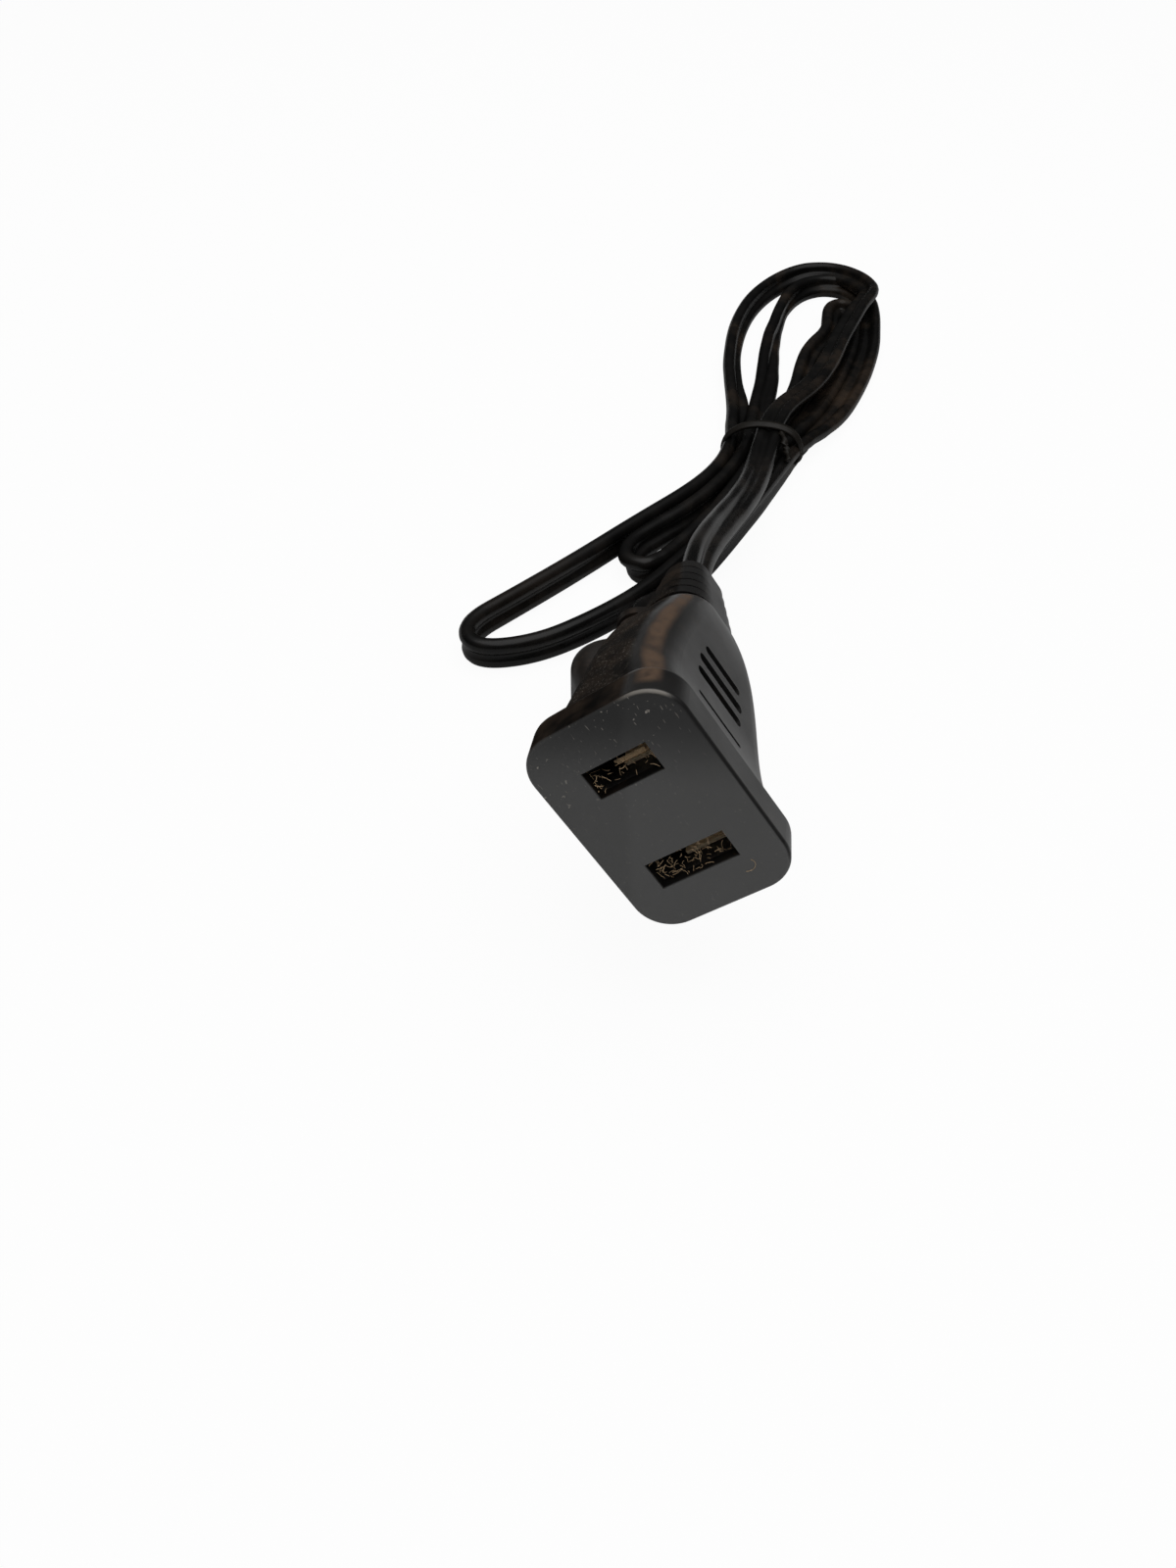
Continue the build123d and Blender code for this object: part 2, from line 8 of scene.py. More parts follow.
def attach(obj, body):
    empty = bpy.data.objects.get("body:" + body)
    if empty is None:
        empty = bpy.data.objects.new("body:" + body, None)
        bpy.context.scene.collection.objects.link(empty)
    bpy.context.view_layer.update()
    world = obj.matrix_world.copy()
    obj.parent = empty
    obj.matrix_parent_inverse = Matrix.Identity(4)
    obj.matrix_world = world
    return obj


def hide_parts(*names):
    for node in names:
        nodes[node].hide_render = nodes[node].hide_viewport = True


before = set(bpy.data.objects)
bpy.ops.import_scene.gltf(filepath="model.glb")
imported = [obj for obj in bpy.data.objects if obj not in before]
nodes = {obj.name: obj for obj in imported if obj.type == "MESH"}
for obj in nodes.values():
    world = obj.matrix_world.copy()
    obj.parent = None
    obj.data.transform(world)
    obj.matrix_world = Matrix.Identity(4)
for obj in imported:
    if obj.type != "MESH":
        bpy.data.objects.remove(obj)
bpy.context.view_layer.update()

mm = 0.001
scene = bpy.context.scene
scene.view_settings.view_transform = "Standard"

# Camera: the photograph's height, tilt and lens

camera = {"place": (-7.55, -115.8, 109.46), "tilt": 47.5, "lens": 27.165, "sensor": 36.0}

cameraData = bpy.data.cameras.new("camera")
cameraData.lens = camera["lens"]
cameraData.sensor_width = camera["sensor"]
cameraData.clip_start = 0.005
cameraObject = bpy.data.objects.new("camera", cameraData)
cameraObject.location = Vector(camera["place"]) * mm
cameraObject.rotation_euler = (math.radians(camera["tilt"]), 0, 0)
scene.collection.objects.link(cameraObject)
scene.camera = cameraObject
print("camera set")


# Shader helpers

class Value:
    # wraps one socket so that shader maths reads as an expression
    def __init__(self, paint, socket):
        self.paint = paint
        self.socket = socket

    def maths(self, operation, *others):
        sockets = {0: self}
        for index, other in enumerate(others):
            sockets[index + 1] = other
        return self.paint.node("ShaderNodeMath", {"operation": operation}, sockets)

    def __add__(self, other):
        return self.maths("ADD", other)

    def __radd__(self, other):
        return self.maths("ADD", other)

    def __mul__(self, other):
        return self.maths("MULTIPLY", other)

    def __rmul__(self, other):
        return self.maths("MULTIPLY", other)

    def __sub__(self, other):
        return self.maths("SUBTRACT", other)

    def __rsub__(self, other):
        return (self * -1) + other

    def __truediv__(self, other):
        return self.maths("DIVIDE", other)

    def clamp(self):
        return self.maths("MINIMUM", 1).maths("MAXIMUM", 0)

    def between(self, low, high):
        # 0 below low, 1 above high, smooth in between
        settings = {"interpolation_type": "SMOOTHSTEP"}
        sockets = {"Value": self, "From Min": low, "From Max": high}
        return self.paint.node("ShaderNodeMapRange", settings, sockets)


class Paint:
    # the procedural nodes of one material or world
    def __init__(self, owner):
        self.owner = owner
        owner.use_nodes = True
        self.tree = owner.node_tree
        self.tree.nodes.clear()
        self.place = self.node("ShaderNodeTexCoord", output="Object")

    def node(self, kind, settings=None, sockets=None, output=0):
        made = self.tree.nodes.new(kind)
        for name, value in (settings or {}).items():
            if name == "stops":
                self.setStops(made.color_ramp.elements, value)
            else:
                setattr(made, name, value)
        for name, value in (sockets or {}).items():
            if isinstance(value, Value):
                self.tree.links.new(value.socket, made.inputs[name])
            else:
                made.inputs[name].default_value = value
        return Value(self, made.outputs[output]) if len(made.outputs) else None

    def setStops(self, stops, wanted):
        # a new ramp has two stops
        for index, (position, shade) in enumerate(wanted):
            stop = stops[index] if index < 2 else stops.new(position)
            stop.position = position
            stop.color = (*shade, 1)

    def noise(self, scale, detail=4.0, rough=0.55, where=None):
        sockets = {"Vector": where or self.place, "Scale": scale, "Detail": detail, "Roughness": rough}
        return self.node("ShaderNodeTexNoise", None, sockets)

    def stretched(self, scale, turn=(0, 0, 0)):
        # the object's own coordinates, turned and then scaled
        sockets = {"Vector": self.place, "Rotation": tuple(map(math.radians, turn)), "Scale": scale}
        return self.node("ShaderNodeMapping", {"vector_type": "TEXTURE"}, sockets)

    def blend(self, share, first, second):
        settings = {"data_type": "RGBA"}
        sockets = {0: share, 6: colour(first), 7: colour(second)}
        return self.node("ShaderNodeMix", settings, sockets, output=2)

    def along(self, direction, origin):
        # distance from a point along a direction, in metres
        moved = self.node("ShaderNodeVectorMath", {"operation": "SUBTRACT"}, {0: self.place, 1: origin})
        sockets = {0: moved, 1: direction}
        return self.node("ShaderNodeVectorMath", {"operation": "DOT_PRODUCT"}, sockets, output=1)

    def finish(self, bump=None, bumpStrength=0.2, bumpDistance=0.0001, matte=None, **inputs):
        # matte is the share of a plain diffuse surface under dust or wear
        sockets = {name.replace("_", " "): value for name, value in inputs.items()}
        if bump is not None:
            bumpSockets = {"Height": bump, "Strength": bumpStrength, "Distance": bumpDistance}
            sockets["Normal"] = self.node("ShaderNodeBump", None, bumpSockets)
        shader = self.node("ShaderNodeBsdfPrincipled", None, sockets)
        if matte is not None:
            dullSockets = {"Color": sockets["Base Color"], "Normal": sockets["Normal"]}
            dull = self.node("ShaderNodeBsdfDiffuse", None, dullSockets)
            shader = self.node("ShaderNodeMixShader", None, {0: matte, 1: shader, 2: dull})
        self.node("ShaderNodeOutputMaterial", None, {"Surface": shader})
        return self.owner


def colour(value):
    return value if isinstance(value, Value) else (*value, 1)


def dress(name, material):
    slots = nodes[name].data.materials
    slots.clear()
    slots.append(material)


# Finishes

# The middle of the connector's face in millimetres, and the directions out of, along and across it
connectorFace = {
    "centre": (-0.35, -30.3, 26.7), "nose": (-0.13633, -0.982481, 0.127065),
    "along": (0.57373, -0.182865, -0.79837), "across": (0.807619, -0.035941, 0.588609),
}

housingFinish = {
    "black": (0.0040, 0.0038, 0.0036), "worn": (0.0095, 0.0090, 0.0085),
    # the face greys are painted light: a lit grey for the face, and a painted shade for its upper corner
    "face": (0.078, 0.078, 0.077), "facePaintedShade": (0.020, 0.020, 0.020),
    # the tan on the next line is a painted reflection for the rounded corner that faces up
    "tan": (0.085, 0.055, 0.037), "dust": (0.060, 0.042, 0.030), "speck": (0.36, 0.33, 0.29),
    "roughness": 0.38, "plugMatte": 0.5,
}

# Where the marks on the connector start and end, in millimetres. Depths are from its face,
# the others are along or across the face. Corner values are shares of the half sizes.
marks = {
    "faceDepth": (0.05, 0.35), "rimStart": (0.0, 0.10), "rimEnd": (0.25, 0.40),
    "sideStart": (0.2, 0.5), "flangeEnd": (3.6, 5.0), "gripStart": (3.6, 6.0), "gripEnd": (40, 46),
    "taperAlong": (14, 42), "taperWaist": (7, 15), "taperShoulder": (29, 39),
    "sheenStripeStart": (1.2, 2.6), "sheenStripeEnd": (33, 38),
    "sheenStripeLeft": (-0.40, -0.22), "sheenStripeRight": (-0.06, 0.12), "narrowSide": (-0.62, -0.40),
    "faceShade": (-14, -3), "faceSpecks": (-11, -1), "flangeLeft": (1, 6),
    "rimHighlight": (14.0, 16.5), "rimHighlightEnd": (-12.0, -10.5), "rimShadeLine": (8.2, 8.8),
}


def wornBlack(paint):
    # black moulding with worn and dusty clouds, and the masks that both mouldings use
    cloud = paint.noise(90, 5).between(0.35, 0.75)
    dust = paint.noise(240, 6, 0.65).between(0.52, 0.80)
    grain = paint.noise(2600, 3, 0.6)
    base = paint.blend(cloud, housingFinish["black"], housingFinish["worn"])
    base = paint.blend(dust * 0.20, base, housingFinish["dust"])
    return base, cloud, dust, grain


def plugMaterial():
    paint = Paint(bpy.data.materials.new("plugMoulding"))
    base, cloud, dust, grain = wornBlack(paint)
    relief = grain * 0.35 + paint.noise(700, 3) * 0.65
    return paint.finish(
        bump=relief, bumpStrength=0.25, bumpDistance=0.00006, matte=housingFinish["plugMatte"],
        Base_Color=paint.blend(dust * 0.4 + 0.1, base, housingFinish["dust"]),
        Roughness=housingFinish["roughness"] + cloud * 0.12, IOR=1.42,
    )


def connectorMaterial():
    paint = Paint(bpy.data.materials.new("connectorMoulding"))
    base, cloud, _, grain = wornBlack(paint)
    centre = tuple(Vector(connectorFace["centre"]) * mm)
    depth = paint.along(connectorFace["nose"], centre) * -1000
    along = paint.along(connectorFace["along"], centre) * 1000
    across = paint.along(connectorFace["across"], centre) * 1000
    onFace = 1 - depth.between(*marks["faceDepth"])
    onSide = depth.between(*marks["sideStart"])

    # painted reflection: a tan stripe along the rounded corner that faces up, standing in for the sheen there
    halfAlong = 12.0 - depth.between(*marks["taperAlong"]) * 6.2
    halfAcross = 7.4 - depth.between(*marks["taperWaist"]) * 1.25 - depth.between(*marks["taperShoulder"]) * 0.9
    corner = across / halfAcross + along / halfAlong + (paint.noise(190, 3) - 0.5) * 0.16
    sheenStripe = corner.between(*marks["sheenStripeLeft"]) * (1 - corner.between(*marks["sheenStripeRight"]))
    sheenStripe = sheenStripe * depth.between(*marks["sheenStripeStart"]) * (1 - depth.between(*marks["sheenStripeEnd"]))
    sheenStripe = sheenStripe * (0.4 + 0.6 * paint.noise(420, 4).between(0.3, 0.6))
    base = paint.blend(sheenStripe, base, housingFinish["tan"])

    # dust and fine scratches on the narrow side
    narrowSide = 1 - corner.between(*marks["narrowSide"])
    patches = paint.noise(200, 3, 0.6).between(0.30, 0.70)
    streakPlace = paint.stretched((1, 0.05, 1), (0, 52, 24))
    streak = paint.noise(1100, 2, 0.6, streakPlace).between(0.62, 0.70)
    fine = paint.noise(3000, 2, 0.6).between(0.60, 0.68)
    onGrip = depth.between(*marks["gripStart"]) * (1 - depth.between(*marks["gripEnd"]))
    scratches = (streak * 0.6 + fine * patches).clamp() * narrowSide * onGrip
    base = paint.blend(narrowSide * patches * 0.3, base, housingFinish["dust"])
    base = paint.blend(scratches * 0.28, base, housingFinish["speck"])

    # smooth face, painted a lighter grey for the light it catches and darker towards its upper corner as painted
    # shade, with fine specks near its upper edge
    shade = (along - across * 0.6).between(*marks["faceShade"])
    base = paint.blend(onFace, base, paint.blend(shade, housingFinish["facePaintedShade"], housingFinish["face"]))
    upperEdge = (1 - (along + across * 0.25).between(*marks["faceSpecks"])) * 0.9 + 0.12
    speck = paint.noise(2300, 1, 0.5).between(0.70, 0.74) * paint.noise(210, 2).between(0.44, 0.60)
    scuffPlace = paint.stretched((1, 0.3, 0.18), (20, 50, 0))
    scuff = paint.noise(900, 1, 0.5, scuffPlace).between(0.70, 0.75)
    specks = ((speck + scuff * 0.5) * upperEdge * onFace).clamp()
    base = paint.blend(specks * 0.7, base, housingFinish["speck"])

    # painted highlight: a bright line on the rim at the upper corner, in the speck colour; painted shade: a dark
    # line along the right-hand rim
    rim = depth.between(*marks["rimStart"]) * (1 - depth.between(*marks["rimEnd"]))
    rimHighlight = rim * (across - along * 0.8).between(*marks["rimHighlight"]) * (1 - along.between(*marks["rimHighlightEnd"]))
    base = paint.blend(rimHighlight * 0.4, base, housingFinish["speck"])
    base = paint.blend(rim * across.between(*marks["rimShadeLine"]) * (1 - rimHighlight), base, housingFinish["black"])

    flange = onSide * (1 - depth.between(*marks["flangeEnd"])) * (1 - across.between(*marks["flangeLeft"]))
    roughness = housingFinish["roughness"] + cloud * 0.10 + onFace * 0.05 + sheenStripe * 0.1 + narrowSide * 0.22
    relief = grain * 0.3 + paint.noise(800, 3) * 0.5 * (1 - onFace * 0.85) - streak * 0.3 * narrowSide
    return paint.finish(
        bump=relief, bumpStrength=0.22, bumpDistance=0.00005,
        matte=((narrowSide * onSide + flange * 0.6) * 0.8 + sheenStripe * 0.5 + 0.1).clamp(),
        Base_Color=base, Roughness=roughness, IOR=1.40,
    )


cordFinish = {"black": (0.0030, 0.0029, 0.0028), "grey": (0.0070, 0.0066, 0.0062), "dust": (0.046, 0.030, 0.019)}


def cordMaterial():
    paint = Paint(bpy.data.materials.new("cordJacket"))
    cloud = paint.noise(120, 4).between(0.35, 0.7)
    # the tan clouds grow stronger, and the jacket more matte, towards the far loops, away from the camera
    farther = paint.along((0, 1, 0), (0, 0, 0)).between(0.07, 0.11)
    dust = paint.noise(60, 5, 0.65).between(0.45, 0.75) * (0.5 + farther * 1.2)
    base = paint.blend(cloud, cordFinish["black"], cordFinish["grey"])
    base = paint.blend(dust * 0.35, base, cordFinish["dust"])
    relief = paint.noise(1800, 3) * 0.5 + paint.noise(220, 3) * 0.9
    return paint.finish(
        bump=relief, bumpStrength=0.12, bumpDistance=0.00006, matte=0.52 + farther * 0.13,
        Base_Color=base, Roughness=0.22 + cloud * 0.08, IOR=1.38,
    )


def plainMaterial(name, shade, roughness, metallic=0.0, wear=0.25, matte=None):
    paint = Paint(bpy.data.materials.new(name))
    cloud = paint.noise(300, 5, 0.6).between(0.35, 0.75)
    darker = tuple(channel * (1 - wear) for channel in shade)
    return paint.finish(
        bump=paint.noise(2200, 3), bumpStrength=0.15, bumpDistance=0.00004, matte=matte,
        Base_Color=paint.blend(cloud, shade, darker),
        Roughness=roughness + cloud * 0.12, Metallic=metallic,
    )


connectorMoulding = connectorMaterial()
plugMoulding = plugMaterial()
jacket = cordMaterial()
innerMoulding = plainMaterial("innerMoulding", (0.014, 0.013, 0.012), 0.55)
brass = plainMaterial("brassStrip", (0.98, 0.80, 0.56), 0.45, 0.35, 0.3)
plated = plainMaterial("platedBlade", (0.70, 0.66, 0.58), 0.25, 1.0, 0.2)
coreSleeve = plainMaterial("coreSleeve", (0.10, 0.09, 0.085), 0.5)
tiePlastic = plainMaterial("tiePlastic", (0.009, 0.0075, 0.006), 0.40, matte=0.7)
lintFibre = plainMaterial("lintFibre", (0.48, 0.34, 0.20), 0.7)

dress("connector_housing", connectorMoulding)
dress("plug_housing", plugMoulding)
for name in ("connector_carrier", "plug_bridge"):
    dress(name, innerMoulding)
for name in ("contact_narrow", "contact_wide"):
    dress(name, brass)
for name in ("blade_narrow", "blade_wide"):
    dress(name, plated)
for name in ("connector_core_narrow", "connector_core_wide", "plug_core_narrow", "plug_core_wide"):
    dress(name, coreSleeve)
print("finishes made")

# Cord: one flat twin cord from the connector, through the hank's five loops, to the plug.
# The points are in millimetres.

cord = {"width": 5.2, "thickness": 2.6, "web": 1.6, "rest": 0.12}

# Each point is x, y and lean, and a height where the cord is lifted off the table. The
# lean turns the cord's long side from upright towards the right of its run, in degrees.
connectorLead = [
    (6.74, 20.79, 143, 20.09), (8.01, 29.93, 141, 18.91), (10.7, 40.2, 132, 16.5),
    (14.1, 50.6, 120, 13.6), (17.9, 61.2, 108, 11.0), (21.1, 71.4, 98, 8.8), (23.4, 81.0, 92, 7.1),
    (25.07, 88.04, 90, 6.7), (26.21, 92.29, 90, 6.7),
]
farOuterLoop = [
    (27.6, 98.6, 88, 6.6), (31.2, 107.8, 82, 6.3), (38.3, 118.0, 76, 5.8), (43.2, 129.0, 72, 5.7),
    (47.2, 141.0, 68, 5.7), (51.2, 151.0, 66, 6.0), (55.0, 160.5, 62, 6.2), (58.2, 166.8, 58, 6.0),
    (59.6, 172.8, 54, 5.2), (58.4, 179.6, 48, 4.8), (55.0, 184.8, 44, 4.6), (50.6, 187.4, 40, 4.3),
    (45.0, 187.8, 36, 3.7),
    (37.8, 182.6, 32), (31.7, 171.5, 29), (27.3, 158.0, 28), (24.6, 144.0, 28), (23.3, 130.0, 40),
    (23.5, 116.5, 60), (21.9, 106.0, 40), (20.4, 96.75, 14),
]
nearLargeLoop = [
    (17.3, 87.4, 8), (11.6, 78.5, 6), (1.4, 67.2, 4), (-9.4, 54.5, 4), (-18.7, 44.4, 4),
    (-26.7, 36.0, 6), (-24.9, 29.5, 6), (-15.5, 31.0, 4), (-6.2, 37.8, 0), (1.9, 45.9, 0),
    (8.3, 55.3, 0), (14.5, 64.8, 4), (20.1, 75.8, 8), (25.3, 85.8, 12), (29.1, 94.4, 16),
]
farInnerLoop = [
    (32.9, 103.5, 50), (36.9, 110.8, 72), (39.9, 117.6, 80), (43.1, 124.7, 80), (46.0, 132.1, 78),
    (48.7, 139.8, 72), (51.2, 147.9, 62), (52.6, 156.0, 50), (54.4, 161.5, 45), (54.9, 166.2, 45),
    (52.6, 168.8, 45), (50.2, 166.6, 45), (49.0, 160.2, 45), (47.6, 152.5, 42), (42.2, 143.6, 48),
    (39.4, 134.0, 54), (37.7, 126.0, 60), (35.0, 117.6, 58), (31.6, 110.0, 40), (28.2, 102.5, 24),
    (26.2, 95.2, 12),
]
nearSmallLoop = [
    (23.9, 89.3, 12), (20.8, 82.4, 20), (16.9, 73.6, 30), (12.3, 65.6, 36), (8.3, 59.2, 36),
    (4.8, 54.2, 24), (1.2, 52.8, -8), (-1.0, 56.0, -32), (0.5, 60.8, -36), (4.9, 65.6, -30),
    (9.9, 70.9, -22), (15.1, 78.2, -14), (19.9, 86.8, -12), (23.3, 96.0, -14),
]
farMiddleLoop = [
    (25.1, 103.5, -44), (27.0, 111.0, -66), (28.6, 119.0, -82), (30.7, 128.5, -74),
    (32.1, 138.5, -56), (33.7, 148.5, -36), (36.0, 158.0, -14), (38.4, 167.5, -6),
    (41.6, 175.5, -16), (46.0, 181.8, -30), (51.8, 184.2, -38), (57.4, 181.0, -48),
    (59.6, 173.0, -58), (58.8, 164.0, -66), (57.4, 156.4, -72), (55.8, 147.9, -76),
    (53.5, 139.8, -78), (51.0, 132.1, -80), (48.2, 124.7, -80), (45.3, 117.6, -78),
    (42.1, 110.8, -70), (37.9, 104.3, -58), (34.5, 98.6, -34), (31.7, 93.7, -16),
]
plugLead = [
    (30.0, 90.2, -10), (28.0, 86.0, -6), (25.6, 81.0, -4), (22.4, 74.4, 0), (18.0, 66.0, 0),
    (13.2, 56.6, -8, 2.6), (8.4, 48.2, -40, 2.9), (3.9, 41.4, -75, 4.6), (1.2, 36.8, -90, 6.0),
    (1.2, 32.8, -90, 6.0),
]
route = connectorLead + farOuterLoop + nearLargeLoop + farInnerLoop + nearSmallLoop + farMiddleLoop + plugLead


def restHeight(point):
    # as given, or resting on the table at its lean
    if len(point) > 3:
        return point[3]
    halfWeb = (cord["width"] - cord["thickness"]) / 2
    return cord["thickness"] / 2 + halfWeb * abs(math.cos(math.radians(point[2]))) + cord["rest"]


def smoothLine(points, resolution=12):
    # points along the NURBS curve that has the route as its control points
    curve = bpy.data.curves.new("routeCurve", "CURVE")
    curve.dimensions = "3D"
    curve.resolution_u = resolution
    spline = curve.splines.new("NURBS")
    spline.points.add(len(points) - 1)
    for point, place in zip(spline.points, points):
        point.co = (*(Vector(place) * mm), 1)
    spline.order_u = 3
    spline.use_endpoint_u = True
    guide = bpy.data.objects.new("routeGuide", curve)
    scene.collection.objects.link(guide)
    bpy.context.view_layer.update()
    mesh = bpy.data.meshes.new_from_object(guide)
    line = [vertex.co.copy() for vertex in mesh.vertices]
    bpy.data.objects.remove(guide)
    bpy.data.meshes.remove(mesh)
    return line


def twinSection(width, thickness, web, steps=12):
    # outline of two round cores joined by a thinner web: across, up
    radius = thickness / 2
    offset = (width - thickness) / 2
    reach = math.asin(web / 2 / radius)
    outline = []
    for side in (1, -1):
        start = -math.pi / 2 + reach
        for index in range(steps + 1):
            angle = start + (2 * math.pi - 2 * reach) * index / steps
            across = radius * math.cos(angle)
            up = radius * math.sin(angle)
            outline.append((across * side, (offset + up) * side))
    return outline


def strip(name, line, outline, wide, material):
    # sweeps an outline along a line; wide gives the direction of its long side at each point
    vertices = []
    faces = []
    count = len(outline)
    for index, place in enumerate(line):
        ahead = (line[min(index + 1, len(line) - 1)] - line[max(index - 1, 0)]).normalized()
        up = wide(index)
        up = (up - ahead * up.dot(ahead)).normalized()
        across = ahead.cross(up)
        for side, rise in outline:
            vertices.append(place + across * side * mm + up * rise * mm)
    for ring in range(len(line) - 1):
        for index in range(count):
            following = (index + 1) % count
            faces.append((
                ring * count + index, ring * count + following,
                (ring + 1) * count + following, (ring + 1) * count + index,
            ))
    faces.append(tuple(reversed(range(count))))
    faces.append(tuple((len(line) - 1) * count + index for index in range(count)))
    mesh = bpy.data.meshes.new(name)
    mesh.from_pydata(vertices, [], faces)
    mesh.polygons.foreach_set("use_smooth", [True] * len(mesh.polygons))
    mesh.materials.append(material)
    mesh.update()
    piece = bpy.data.objects.new(name, mesh)
    scene.collection.objects.link(piece)
    return piece


cordLine = smoothLine([(point[0], point[1], restHeight(point)) for point in route])


def leanAt(index):
    # the lean between the two route points beside a point of the line
    place = index / (len(cordLine) - 1) * (len(route) - 2) + 0.5
    first = min(int(place), len(route) - 2)
    share = min(1, place - first)
    share = share * share * (3 - 2 * share)
    return math.radians(route[first][2] * (1 - share) + route[first + 1][2] * share)


def cordWide(index):
    ahead = (cordLine[min(index + 1, len(cordLine) - 1)] - cordLine[max(index - 1, 0)]).normalized()
    right = ahead.cross(Vector((0, 0, 1))).normalized()
    lean = leanAt(index)
    return right.cross(ahead) * math.cos(lean) + right * math.sin(lean)


flatCord = strip(
    "flatCord", cordLine, twinSection(cord["width"], cord["thickness"], cord["web"]), cordWide, jacket,
)
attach(flatCord, "root")
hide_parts("cord_connector_lead", "cord_hank", "cord_plug_lead")

# Wire tie: a thin flat strip with a wire down its middle, drawn round the strands

tie = {
    "centre": (26.3, 95.15), "heading": -15, "width": 2.4, "thickness": 0.5, "wire": 0.3,
    "ring": (
        (0, 0.6), (-8.0, 0.6), (-7.8, 5.5), (-3.2, 8.4), (3.6, 8.4), (6.9, 5.7), (6.9, 0.6), (0, 0.6),
    ),
    "tail": ((2.9, -1.3, 7.6), (3.7, -3.2, 7.4), (4.9, -5.6, 5.9), (5.3, -7.8, 5.6)),
    "tailTurns": 1.5, "tailShare": 0.55,
}


def makeTie():
    heading = math.radians(tie["heading"])
    across = Vector((math.cos(heading), math.sin(heading), 0))
    ahead = Vector((-math.sin(heading), math.cos(heading), 0))
    centre = Vector((*tie["centre"], 0))
    half = tie["width"] / 2
    skin = tie["thickness"] / 2
    wire = skin + tie["wire"]
    outline = [
        (-skin, -half), (skin, -half), (skin, -wire), (wire, -wire / 2), (wire, wire / 2),
        (skin, wire), (skin, half), (-skin, half),
    ]
    ring = smoothLine([tuple(centre + across * side + Vector((0, 0, up))) for side, up in tie["ring"]])
    band = strip("tieBand", ring, outline, lambda index: ahead, tiePlastic)
    tail = smoothLine([
        tuple(centre + across * side + ahead * along + Vector((0, 0, up)))
        for side, along, up in tie["tail"]
    ])

    def twist(index):
        turn = Vector((1, 0, 0.2))
        turn.rotate(Quaternion((0, 1, 0), math.tau * tie["tailTurns"] * index / len(tail)))
        return turn

    narrow = [(side, up * tie["tailShare"]) for side, up in outline]
    ends = strip("tieEnds", tail, narrow, twist, tiePlastic)
    for piece in (band, ends):
        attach(piece, "root")
        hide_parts("hank_tie")
    return [band, ends]


plugPieces = ["plug_housing", "plug_bridge", "blade_narrow", "blade_wide", "plug_core_narrow", "plug_core_wide"]
[nodes[name] for name in plugPieces] + makeTie()

# Lint: short fibres caught in the slots, and a curl on the face

lint = {
    "seed": 7, "fibres": (46, 90), "length": (0.3, 1.2), "thickness": 0.034, "steps": 6,
    "slots": ((-6.35, 7.3, 3.3), (6.35, 9.0, 3.3)), "shift": -0.2, "spread": (3.2, 1.0),
    "depth": (0.3, 1.6), "leastDepth": 0.1, "bend": 1.2, "wander": 0.5,
    "threads": {
        "along": (-7.62, -7.5, -7.38, -7.26, -7.14), "across": (-0.6, 3.1), "depth": 0.35,
        "ragged": 0.6, "wave": 0.03, "steps": 8,
    },
    "curl": {
        "middle": (9.6, 4.4), "radii": (0.8, 0.9), "start": -35, "turn": 20, "steps": 8, "depth": -0.02,
    },
}


def onConnector(along, across, depth):
    # millimetres on the connector's face, and back from it, to a point in the frame
    place = Vector(connectorFace["centre"]) + Vector(connectorFace["along"]) * along
    return (place + Vector(connectorFace["across"]) * across - Vector(connectorFace["nose"]) * depth) * mm


def fibre(places, vertices, faces):
    # thin three-sided strand through the given points
    first = len(vertices)
    for index, place in enumerate(places):
        ahead = (places[min(index + 1, len(places) - 1)] - places[max(index - 1, 0)]).normalized()
        side = ahead.orthogonal().normalized()
        for turn in (0, 120, 240):
            spoke = side.copy()
            spoke.rotate(Quaternion(ahead, math.radians(turn)))
            vertices.append(place + spoke * lint["thickness"] * mm)
    for ring in range(len(places) - 1):
        for index in range(3):
            following = (index + 1) % 3
            start = first + ring * 3
            faces.append((start + index, start + following, start + 3 + following, start + 3 + index))
    faces.append((first + 2, first + 1, first))
    faces.append(tuple(len(vertices) - 3 + index for index in range(3)))


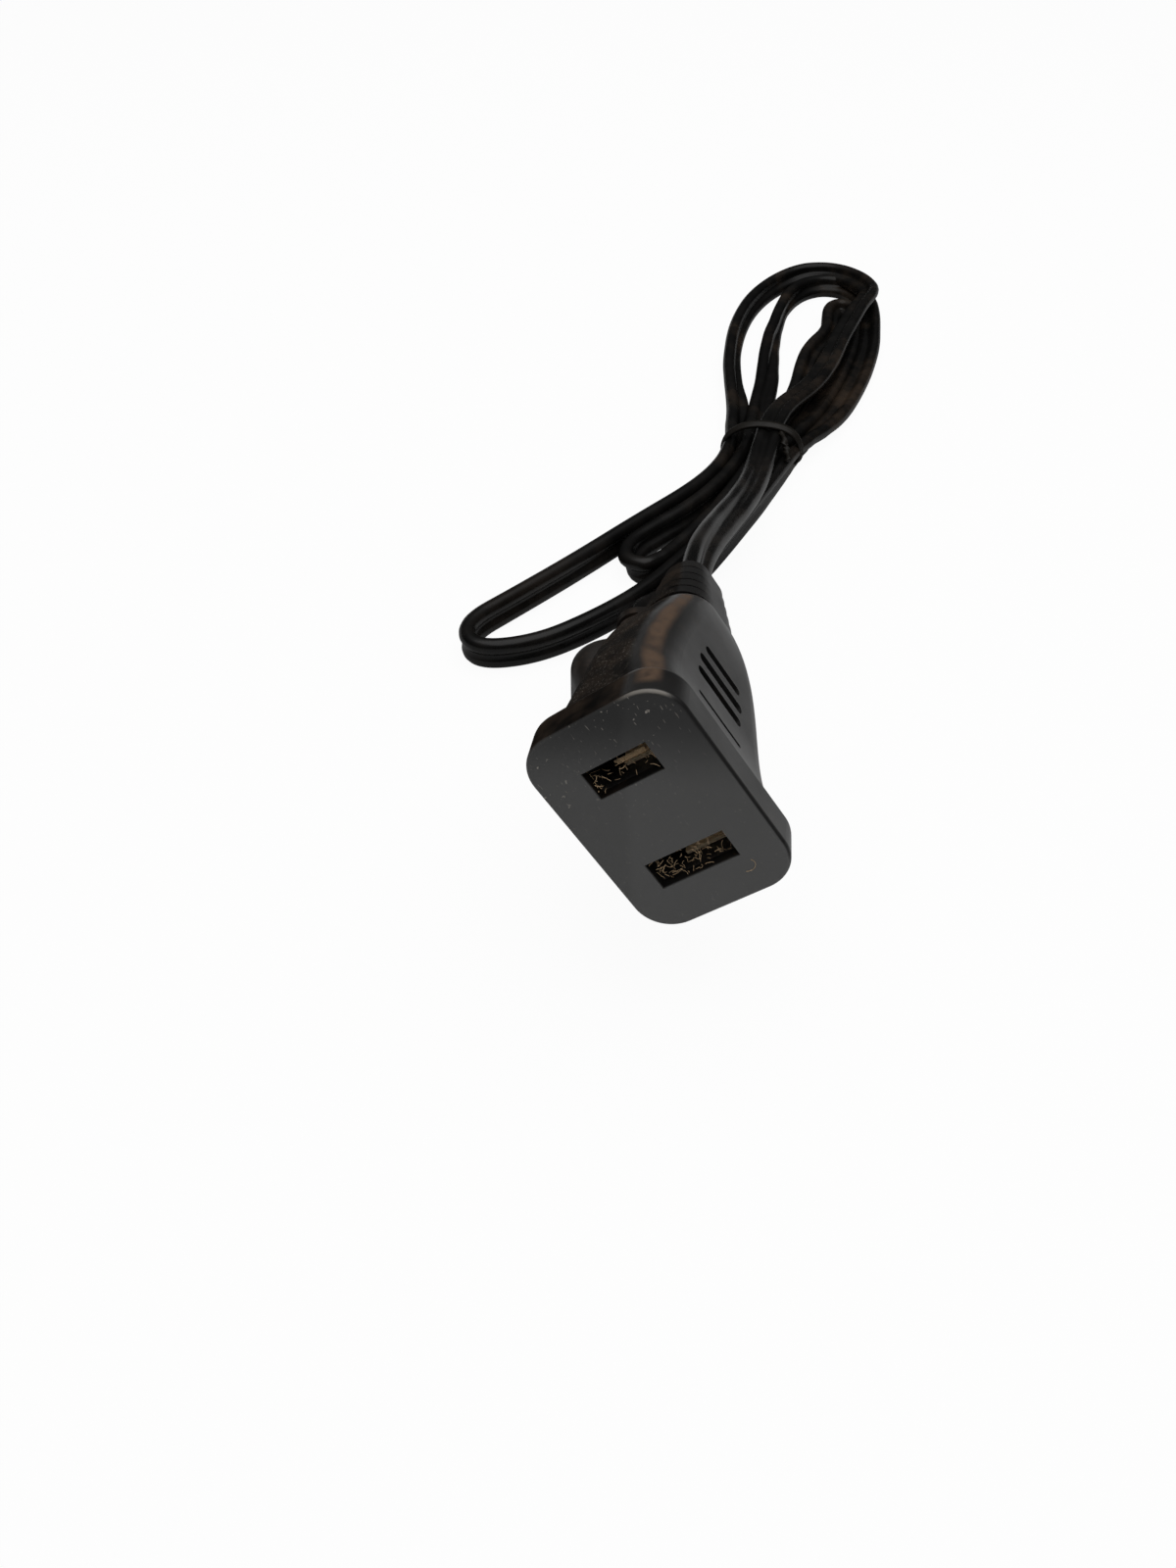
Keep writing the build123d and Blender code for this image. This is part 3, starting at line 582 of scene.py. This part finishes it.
def makeLint():
    chance = random.Random(lint["seed"])
    vertices = []
    faces = []
    for (middle, slotLength, gap), spread, fibres in zip(lint["slots"], lint["spread"], lint["fibres"]):
        for count in range(fibres):
            # a larger spread packs them towards the two ends of the slot
            end = chance.choice((-1, 1))
            across = lint["shift"] + end * slotLength / 2 * (1 - chance.random() ** spread)
            along = middle + chance.uniform(-gap, gap) / 2
            depth = chance.uniform(*lint["depth"])
            heading = chance.uniform(0, math.tau)
            bend = chance.uniform(-lint["bend"], lint["bend"])
            reach = chance.uniform(*lint["length"]) / lint["steps"]
            places = []
            for step in range(lint["steps"] + 1):
                inAlong = min(max(along, middle - gap / 2), middle + gap / 2)
                inAcross = min(max(across, lint["shift"] - slotLength / 2), lint["shift"] + slotLength / 2)
                places.append(onConnector(inAlong, inAcross, max(depth, lint["leastDepth"])))
                along += math.cos(heading) * reach
                across += math.sin(heading) * reach
                depth += chance.uniform(-lint["wander"], lint["wander"]) * reach
                heading += bend / lint["steps"]
            fibre(places, vertices, faces)
    # a wisp of threads along the upper slot
    threads = lint["threads"]
    low, high = threads["across"]
    for along in threads["along"]:
        start = low + chance.uniform(0, threads["ragged"])
        places = []
        for step in range(threads["steps"] + 1):
            across = start + (high - start) * step / threads["steps"]
            wave = chance.uniform(-threads["wave"], threads["wave"])
            places.append(onConnector(along + wave, across, threads["depth"] + wave))
        fibre(places, vertices, faces)
    # and a curl on the face
    curl = lint["curl"]
    places = []
    for step in range(curl["steps"] + 1):
        angle = math.radians(curl["start"] + curl["turn"] * step)
        along = curl["middle"][0] + curl["radii"][0] * math.cos(angle)
        across = curl["middle"][1] + curl["radii"][1] * math.sin(angle)
        places.append(onConnector(along, across, curl["depth"]))
    fibre(places, vertices, faces)
    mesh = bpy.data.meshes.new("slotLint")
    mesh.from_pydata(vertices, [], faces)
    mesh.materials.append(lintFibre)
    piece = bpy.data.objects.new("slotLint", mesh)
    scene.collection.objects.link(piece)
    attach(piece, "root")


makeLint()
print("lint made")

# Table and light

room = {
    "floorSize": 3.0, "floorColour": (0.72, 0.72, 0.72), "glow": 0.95,
    # height share of the sky and its strength there: dim walls and a bright ceiling
    "sky": ((0.15, 0.03), (0.62, 0.12), (0.92, 0.9)),
    "lamp": {"energy": 3.6, "size": 0.8, "place": (0.06, 0.0, 0.68), "aim": (0.01, 0.06, 0.01)},
}


def makeFloor():
    half = room["floorSize"] / 2
    mesh = bpy.data.meshes.new("floor")
    mesh.from_pydata([(-half, -half, 0), (half, -half, 0), (half, half, 0), (-half, half, 0)], [], [(0, 1, 2, 3)])
    paint = Paint(bpy.data.materials.new("paleFloor"))
    diffuse = paint.node("ShaderNodeBsdfDiffuse", None, {"Color": colour(room["floorColour"])})
    glow = paint.node("ShaderNodeEmission", None, {"Color": (1, 1, 1, 1), "Strength": 1.0})
    seen = paint.node("ShaderNodeLightPath", output="Is Camera Ray") * room["glow"]
    mixed = paint.node("ShaderNodeMixShader", None, {0: seen, 1: diffuse, 2: glow})
    paint.node("ShaderNodeOutputMaterial", None, {"Surface": mixed})
    mesh.materials.append(paint.owner)
    floor = bpy.data.objects.new("floor", mesh)
    scene.collection.objects.link(floor)


def makeLamp():
    lamp = bpy.data.lights.new("overheadLamp", "AREA")
    lamp.energy = room["lamp"]["energy"]
    lamp.size = room["lamp"]["size"]
    place = Vector(room["lamp"]["place"])
    lampObject = bpy.data.objects.new("overheadLamp", lamp)
    lampObject.location = place
    lampObject.rotation_euler = (place - Vector(room["lamp"]["aim"])).to_track_quat("Z", "Y").to_euler()
    scene.collection.objects.link(lampObject)


def makeSky():
    paint = Paint(bpy.data.worlds.new("studio"))
    direction = paint.node("ShaderNodeTexCoord", output="Generated")
    rise = paint.node("ShaderNodeSeparateXYZ", None, {0: direction}, output="Z")
    stops = [(position, (strength,) * 3) for position, strength in room["sky"]]
    ramp = paint.node("ShaderNodeValToRGB", {"stops": stops}, {0: rise})
    background = paint.node("ShaderNodeBackground", None, {"Color": ramp, "Strength": 1.0})
    paint.node("ShaderNodeOutputWorld", None, {"Surface": background})
    scene.world = paint.owner


makeFloor()
makeLamp()
makeSky()
print("table and light set")
